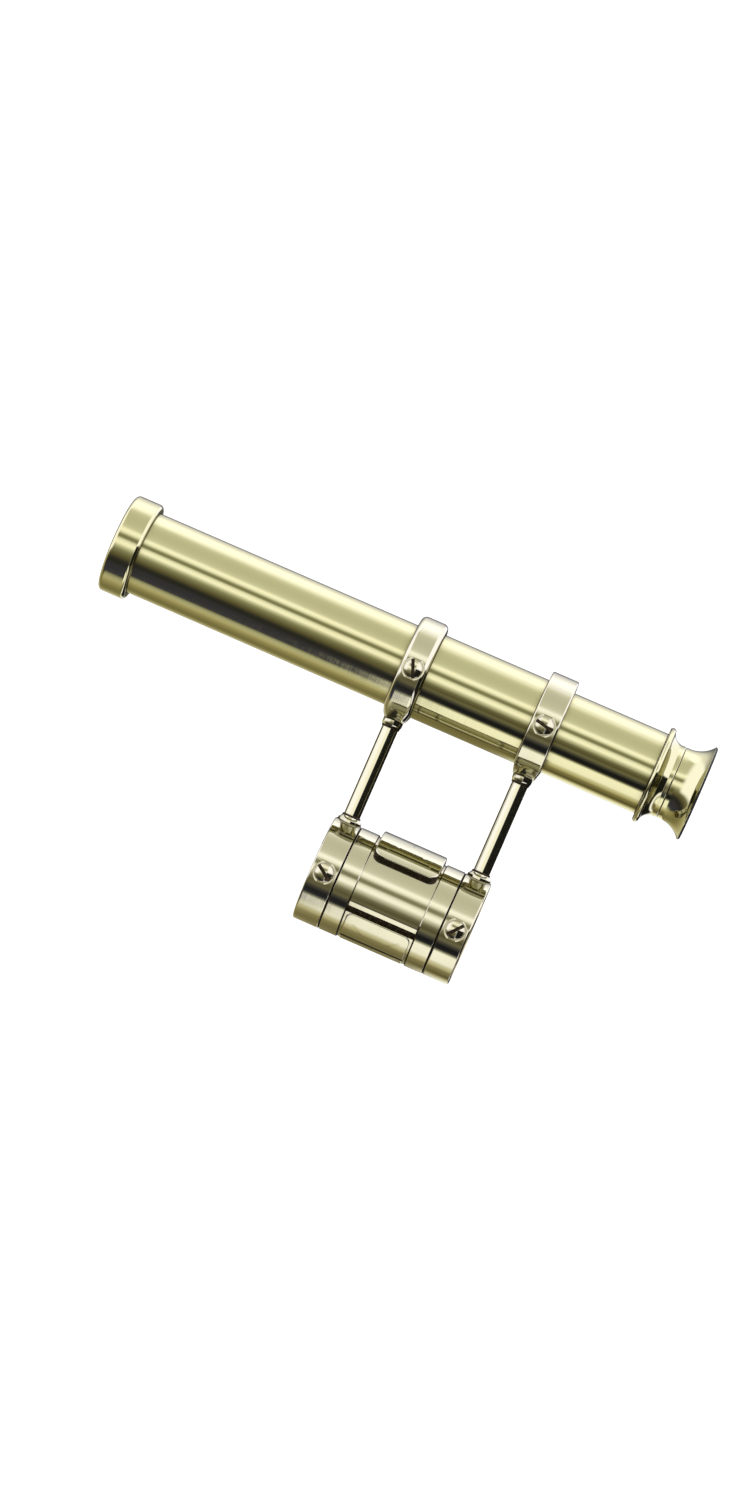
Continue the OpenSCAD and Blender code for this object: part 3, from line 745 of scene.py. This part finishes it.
def make_collar(name, node, neck, wide, tip, cove, ring_r, axis_z, upward, shoulder=0.0):
    """A collar round a post, hollow-curved from its neck to its wide end, which fits on a ring.

    tip is the height of the neck's end. upward is 1 where the ring is above the collar.
    """
    low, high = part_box(node)
    x = (low.x + high.x) / 2
    drop = math.sqrt(cove ** 2 - (cove - (wide - neck)) ** 2)
    sweep = math.asin(drop / cove)
    angles = [sweep * k / 12 for k in range(13)]
    curve = [(tip + upward * cove * math.sin(a), neck + cove * (1 - math.cos(a))) for a in angles]
    steps = 4
    mouth = [(None, wide + (POST_R - wide) * k / steps) for k in range(steps + 1)]

    def place(t, r, a):
        """Points of the mouth, which have no t, lie on the ring's surface."""
        across, y = r * math.cos(a), r * math.sin(a)
        if t is None:
            reach = abs(across) / (1 - NARROWING if axis_z > 0 else 1)
            past = min(shoulder, max(0.0, reach - RING_HALF + shoulder))
            surface = ring_r - shoulder + math.sqrt(shoulder ** 2 - past ** 2)
            t = axis_z - upward * math.sqrt(surface ** 2 - y ** 2)
        return (x + across, y, t)

    collar = revolve(name, [(tip, POST_R), *curve, *mouth], place, AROUND_SMALL)
    round_edges(collar, 0.15 * MM, 3, 40)
    finish_piece(collar, FINDER, node, "polished_brass", POST_BRASS, TARNISH_AND_SHADE)
    # Faces at the neck's end take the dark brass: a painted shadow line where the collar meets the post.
    for face in collar.data.polygons:
        face.material_index = 1 if abs(face.center.z - tip) < 0.9 * MM else 0


def make_posts():
    for end, shoulder in (("front", SHOULDER), ("rear", 0.0)):
        make_post(f"{end}_post_rod", f"{end}_post")
        ferrule, foot = f"{end}_post_ferrule", f"{end}_post_foot"
        make_collar(f"{ferrule}_body", ferrule, neck=POST_R + 0.35 * MM, wide=4.6 * MM,
                    tip=span(ferrule, 2)[0], cove=3.6 * MM, ring_r=TUBE_RING_R, axis_z=AXIS_Z, upward=1,
                    shoulder=shoulder)
        make_collar(f"{foot}_body", foot, neck=POST_R + 0.5 * MM, wide=5.5 * MM,
                    tip=span(foot, 2)[1], cove=2.6 * MM, ring_r=CLAMP_RING_R, axis_z=0, upward=-1)


# ---------------------------------------------------------------- spacer sleeve and saddle


# Groove along each side of the sleeve: degrees below the side where its lip starts and ends, and
# where the groove ends, then how deep each part is.
GROOVE_TOP, GROOVE_LIP, GROOVE_END = 16.4, 22.3, 28.6
LIP_DEPTH, GROOVE_DEPTH = 0.65 * MM, 1.2 * MM


def groove_depth(a):
    """How deep the sleeve's surface lies below its round outline, at an angle from the top."""
    below = math.degrees(math.acos(math.cos(a))) - 90
    if GROOVE_TOP < below <= GROOVE_LIP:
        return LIP_DEPTH * (below - GROOVE_TOP) / (GROOVE_LIP - GROOVE_TOP)
    return GROOVE_DEPTH if GROOVE_LIP < below < GROOVE_END else 0.0


def make_spacer():
    x0, x1 = span("spacer_sleeve", 0)
    outer, body = CLAMP_RING_R, CLAMP_RING_R - 0.55 * MM
    collar, bevel, hair = 8.8 * MM, 0.35 * MM, 0.01 * MM
    points = [
        (x0, CLAMP_R), (x0, outer - bevel), (x0 + bevel, outer), (x0 + collar - bevel, outer),
        (x0 + collar, outer - bevel), (x0 + collar, body), (x1 - collar, body),
        (x1 - collar, outer - bevel), (x1 - collar + bevel, outer), (x1 - bevel, outer),
        (x1, outer - bevel), (x1, CLAMP_R)
    ]

    def place(t, r, a):
        """The turned outline, with a groove sunk along each side of the body."""
        if x0 + collar - hair < t < x1 - collar + hair and CLAMP_R + MM < r < body + 0.2 * MM:
            r = min(r, body - groove_depth(a)) if groove_depth(a) else r
        return (t, r * math.sin(a), r * math.cos(a))

    spacer = revolve("spacer_sleeve_body", supported(soften(points, 0.14 * MM)), place,
                     AROUND_GROOVED)
    finish_piece(spacer, FINDER, "spacer_sleeve", "polished_brass", RING_BRASS, BORE_BRASS, TARNISH_AND_SHADE)
    # Bores take the bored brass. The groove floors take the dark brass as painted shade.
    for face in spacer.data.polygons:
        from_axis = math.hypot(face.center.y, face.center.z)
        in_body = x0 + collar < face.center.x < x1 - collar
        if from_axis < CLAMP_R + SLACK:
            face.material_index = 1
        elif in_body and from_axis < body - LIP_DEPTH - 0.1 * MM:
            face.material_index = 2
    # Painted shade on the lower parts of the collars' inner walls and along the sleeve's two ends.
    wall_width, edge_width, wall_top = 0.7 * MM, 0.25 * MM, -0.2 * outer
    for wall in (x0 + collar, x1 - collar):
        paint_joint_shade(spacer, wall - wall_width, wall + wall_width, wall_top)
    for end in (x0, x1 - edge_width):
        paint_joint_shade(spacer, end - hair, end + edge_width + hair)


def rounded_outline(half_x, half_s, corner, steps=8):
    """Points round a rounded rectangle, with the straight sides divided too."""
    corners = [(1, 1, 0), (-1, 1, 90), (-1, -1, 180), (1, -1, 270)]
    along = 14
    points = []
    rounds = [arc(sx * (half_x - corner), ss * (half_s - corner), corner, start, start + 90, steps)
              for sx, ss, start in corners]
    for n, ring in enumerate(rounds):
        last, after = Vector(ring[-1]), Vector(rounds[(n + 1) % 4][0])
        points += ring
        points += [tuple(last.lerp(after, k / along)) for k in range(1, along)]
    return points


def curved_plate(name, node, inner, outer, corner, bevel, upward, material=RING_BRASS):
    """A rounded rectangle wrapped on the sleeve, above it (upward 1) or below it (-1)."""
    low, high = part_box(node)
    half_x = (high.x - low.x) / 2
    half_s = outer * math.asin((high.y - low.y) / 2 / outer)
    # Loops of points from the edge inwards: how far in each lies, and its radius.
    loops = [(0.0, inner)]
    loops += [(bevel * (1 - math.cos(a)), outer - bevel * (1 - math.sin(a)))
              for a in (math.pi / 2 * k / 6 for k in range(7))]
    inward, first, deepest = 22, bevel + 0.15 * MM, half_x - 0.05 * MM
    loops += [(first + (deepest - first) * k / inward, outer) for k in range(inward + 1)]
    verts, faces = [], []
    for inset, radius in loops:
        outline = rounded_outline(half_x - inset, half_s - inset, max(corner - inset, 0.02 * MM))
        verts += [(x, radius * math.sin(s / outer), upward * radius * math.cos(s / outer))
                  for x, s in outline]
    count = len(verts) // len(loops)
    for n in range(len(loops) - 1):
        for i in range(count):
            j = (i + 1) % count
            faces.append((n * count + i, n * count + j, (n + 1) * count + j, (n + 1) * count + i))
    # The underside and the narrow middle are closed with strips between facing points.
    half, quarter = count // 2, count // 4
    for base in (0, (len(loops) - 1) * count):
        for i in range(half - 1):
            a, b = (quarter + i) % count, (quarter + i + 1) % count
            d, c = (quarter - 1 - i) % count, (quarter - 2 - i) % count
            faces.append((base + a, base + b, base + c, base + d))
    plate = mesh_object(name, verts, faces)
    finish_piece(plate, FINDER, node, "polished_brass", material, TARNISH_AND_SHADE)
    # The plate's walls and underside take the dark brass: painted shade and dark reflection along its edges,
    # with some tarnish.
    for face in plate.data.polygons:
        face.material_index = 1 if math.hypot(face.center.y, face.center.z) < outer - 0.8 * bevel else 0


def make_plates():
    inner = CLAMP_RING_R - 0.6 * MM
    curved_plate("saddle_plate_body", "saddle_plate", inner, span("saddle_plate", 2)[1],
                 corner=4 * MM, bevel=0.7 * MM, upward=1)
    curved_plate("belly_plate_body", "belly_plate", inner, -span("belly_plate", 2)[0],
                 corner=3 * MM, bevel=0.4 * MM, upward=-1, material=BELLY_BRASS)


# ---------------------------------------------------------------- inner CAD pieces keep their shape


def dress_inner_nodes():
    black = ("front_baffle", "rear_baffle", "lens_carrier", "field_stop", "crosshair", "field_lens_ring",
             "lens_spacer", "eye_lens_ring")
    plain = ("draw_tube_guide", "draw_tube_stop", "eye_lens_cell")
    for names, material in ((black, BLACK), (plain, BORE_BRASS)):
        for name in names:
            mesh = frame["nodes"][name].data
            mesh.materials.clear()
            mesh.materials.append(material)


# ---------------------------------------------------------------- stage, light and camera


def make_floor():
    size, height = 9.0, -0.42
    corners = [(sx * size, sy * size, height) for sx, sy in ((-1, -1), (1, -1), (1, 1), (-1, 1))]
    floor = mesh_object("floor", corners, [(0, 1, 2, 3)])
    n = Material("pale_floor")
    n.shade("Base Color", n.blend(n.noise(3, 3, 0.5), (0.86, 0.86, 0.855), (0.88, 0.88, 0.875)))
    n.shade("Roughness", 0.9)
    floor.data.materials.append(n.material)
    floor.visible_glossy = False


# Brightness of the studio by height above the horizon in degrees. The near side is the camera's. The
# fore set lies towards the objective and the aft set towards the eyepiece.
NEAR_ABOVE = [
    (-7, 0.62), (-2, 1.00), (2, 1.02), (6, 0.88), (9, 0.66), (12, 0.24), (17, 0.21), (20, 0.42), (25, 0.92),
    (31, 1.08), (34, 0.88), (39, 0.64), (48, 0.57), (60, 0.54), (72, 0.56), (79, 0.62), (86, 0.80), (90, 0.92)
]
NEAR_BELOW_FORE = [
    (-90, 0.52), (-83, 0.42), (-78, 0.26), (-74, 0.05), (-64, 0.036), (-52, 0.034), (-44, 0.022), (-37, 0.03),
    (-30, 0.09), (-22, 0.16), (-15, 0.25), (-11, 0.40)
]
NEAR_BELOW_AFT = [
    (-90, 0.72), (-84, 0.95), (-70, 1.00), (-61, 0.98), (-57, 0.30), (-53, 0.015), (-44, 0.010), (-38, 0.05),
    (-31, 0.15), (-24, 0.09), (-16, 0.16), (-11, 0.40)
]
FAR_ABOVE = [
    (0, 0.08), (9, 0.09), (17, 0.17), (25, 0.38), (36, 0.74), (46, 0.90), (54, 1.12), (62, 1.30), (74, 1.28),
    (82, 1.06), (90, 0.92)
]
FAR_BELOW_FORE = [
    (-90, 0.50), (-82, 0.46), (-74, 0.33), (-66, 0.26), (-54, 0.19), (-42, 0.22), (-30, 0.36), (-16, 0.60)
]
FAR_BELOW_AFT = [
    (-90, 0.60), (-82, 0.50), (-75, 0.24), (-66, 0.17), (-58, 0.10), (-52, 0.15), (-44, 0.50), (-30, 0.95),
    (-16, 1.00)
]
FAR_BELOW_MIDDLE = [
    (-90, 0.60), (-82, 0.50), (-75, 0.24), (-66, 0.20), (-58, 0.17), (-44, 0.19), (-30, 0.20), (-16, 0.28)
]


def near_tint(angle, level):
    """Dim light is warmer. The darkest band is cool, so that brass shows it nearly black."""
    if level < 0.06:
        return (1.0, 1.0, 1.7 if angle < -46 else 1.1)
    return (1.0, 1 + min(0.0, 0.12 * math.log(4 * level)), 0.9 + 0.23 * math.log(2 * level))


def far_tint(angle, level):
    """White above, and the warm brown of other brass below."""
    if angle > 0:
        return (1.0, 1.0, 1.18)
    return (1.0, 0.86 + 0.14 * min(1.0, level), 0.36 + 0.6 * min(1.0, level))


# Where the studio's parts begin and end, along the mirrored ray's direction.
FAR_SIDE = (-0.10, 0.10)            # the near side fades into the far side
FORE_TO_MIDDLE = (-0.062, -0.044)
MIDDLE_TO_AFT = (-0.028, -0.012)
FORE_SCREEN_EDGE, FORE_SCREEN_FOOT = (0.32, 0.62), (-0.38, -0.18)
FORE_SCREEN_END = (0.15, 0.40)      # it stops short of the far side
AFT_SCREEN_EDGE, AFT_SCREEN_FOOT = (0.11, 0.27), (-0.90, -0.70)
DARK_BAND_TOP, DARK_BAND_FOOT = (0.06, 0.15), (-0.72, -0.60)
REPEAT_LOSS = 0.62                  # share of the light that a second reflection loses
LAMP = 2.0      # strength of the world's light. Its colours are divided by it, as a ramp holds up to 1.


def grey(level, cool=1.0):
    return (level / LAMP, level / LAMP, level * cool / LAMP)


def ramp(light, value, stops, tint):
    """Bands by height angle. tint(angle, level) gives a colour to multiply by."""
    node = light.add("ShaderNodeValToRGB")
    elements = node.color_ramp.elements
    elements.remove(elements[-1])
    for n, (angle, level) in enumerate(stops):
        place = (angle + 90) / 180
        element = elements[0] if n == 0 else elements.new(place)
        element.position = place
        element.color = (*(level * c / LAMP for c in tint(angle, level)), 1)
    light.put(value, node.inputs["Fac"])
    return node.outputs["Color"]


def banded_sky(light, x, y, z):
    """Bands of brightness by height, which differ by side and towards each end."""
    height = light.math("ADD", light.math("DIVIDE", light.math("ARCSINE", z), math.pi), 0.5)

    def bands(below, above, tint):
        return ramp(light, height, below + above, tint)

    aft = light.step(x, *FORE_TO_MIDDLE)
    near = light.blend(aft, bands(NEAR_BELOW_FORE, NEAR_ABOVE, near_tint),
                       bands(NEAR_BELOW_AFT, NEAR_ABOVE, near_tint))
    far = light.blend(aft, bands(FAR_BELOW_FORE, FAR_ABOVE, far_tint),
                      bands(FAR_BELOW_MIDDLE, FAR_ABOVE, far_tint))
    far = light.blend(light.step(x, *MIDDLE_TO_AFT), far, bands(FAR_BELOW_AFT, FAR_ABOVE, far_tint))
    return light.blend(light.step(y, *FAR_SIDE), near, far)


def add_screens(light, sky, x, y, z):
    """A bright screen at each end. Beyond the eyepiece it has a dark band just below the horizon."""
    forward = light.math("MULTIPLY", x, -1.0)
    fore = light.math("MULTIPLY", light.step(forward, *FORE_SCREEN_EDGE), light.step(z, *FORE_SCREEN_FOOT))
    # The fore screen stops short of the far side, so that each post keeps a dark line along its edge.
    fore = light.math("MULTIPLY", fore, light.step(y, *FORE_SCREEN_END, 1.0, 0.0))
    aft = light.math("MULTIPLY", light.step(x, *AFT_SCREEN_EDGE), light.step(z, *AFT_SCREEN_FOOT))
    band = light.math("MULTIPLY", light.step(z, *DARK_BAND_TOP, 1.0, 0.0), light.step(z, *DARK_BAND_FOOT))
    sky = light.blend(light.math("MAXIMUM", fore, aft), sky, grey(1.10, 1.26))
    return light.blend(light.math("MULTIPLY", aft, band), sky, grey(0.010))


def make_world():
    """Soft studio light, banded by height for mirrors and even for everything else."""
    world = bpy.data.worlds.new("studio")
    bpy.context.scene.world = world
    world.use_nodes = True
    light = NodeTree(world.node_tree)
    parts = light.add("ShaderNodeSeparateXYZ")
    light.put(light.add("ShaderNodeTexCoord").outputs["Generated"], parts.inputs[0])
    sky = add_screens(light, banded_sky(light, *parts.outputs), *parts.outputs)

    rays = light.add("ShaderNodeLightPath")
    mirrored = light.math("MAXIMUM", rays.outputs["Is Glossy Ray"], rays.outputs["Is Transmission Ray"])
    # What one piece shows of another has lost much of its light.
    again = light.math("GREATER_THAN", rays.outputs["Glossy Depth"], 1.5)
    sky = light.blend(light.math("MULTIPLY", again, REPEAT_LOSS), sky, grey(0.02))
    background = light.add("ShaderNodeBackground")
    light.put(LAMP, background.inputs["Strength"])
    light.put(light.blend(mirrored, grey(1.24), sky), background.inputs["Color"])
    output = light.add("ShaderNodeOutputWorld")
    light.put(background.outputs[0], output.inputs["Surface"])


def make_camera():
    """Side-on from a little towards the eyepiece, rolled so that the tube slopes."""
    roll = math.radians(23.6)
    distance, yaw = 1.85, math.radians(3.1)
    low, high = cad_box
    centre = (low + high) / 2
    view_width = 0.322                  # what the picture spans across, at the object
    aspect = 1500 / 729                 # the picture's height over its width
    sideways, upwards = 0.5 * MM, 8 * MM    # from the object's middle to the picture's
    right = Vector((math.cos(roll), 0, math.sin(roll)))
    up = Vector((-math.sin(roll), 0, math.cos(roll)))
    target = centre + right * sideways + up * upwards
    target.y = 0
    back = Vector((math.sin(yaw), -math.cos(yaw), 0.0))
    data = bpy.data.cameras.new("camera")
    camera = bpy.data.objects.new("camera", data)
    bpy.context.scene.collection.objects.link(camera)
    camera.location = target + back * distance
    z_axis = back.normalized()
    x_axis = up.cross(z_axis).normalized()
    y_axis = z_axis.cross(x_axis)
    camera.rotation_mode = "QUATERNION"
    camera.rotation_quaternion = Matrix((x_axis, y_axis, z_axis)).transposed().to_quaternion()
    data.sensor_width = 36
    data.lens = data.sensor_width * distance / (view_width * aspect)
    data.clip_start, data.clip_end = 0.05, 40
    bpy.context.scene.camera = camera


make_tube()
make_tube_sleeve()
make_objective_cell()
make_objective_ring()
make_lenses()
make_end_cap()
make_eyecup()
make_draw_tube()
make_rings()
make_posts()
make_spacer()
make_plates()
dress_inner_nodes()
make_floor()
make_world()
make_camera()
bpy.context.scene.view_settings.view_transform = "Standard"
bpy.context.scene.view_settings.look = "None"
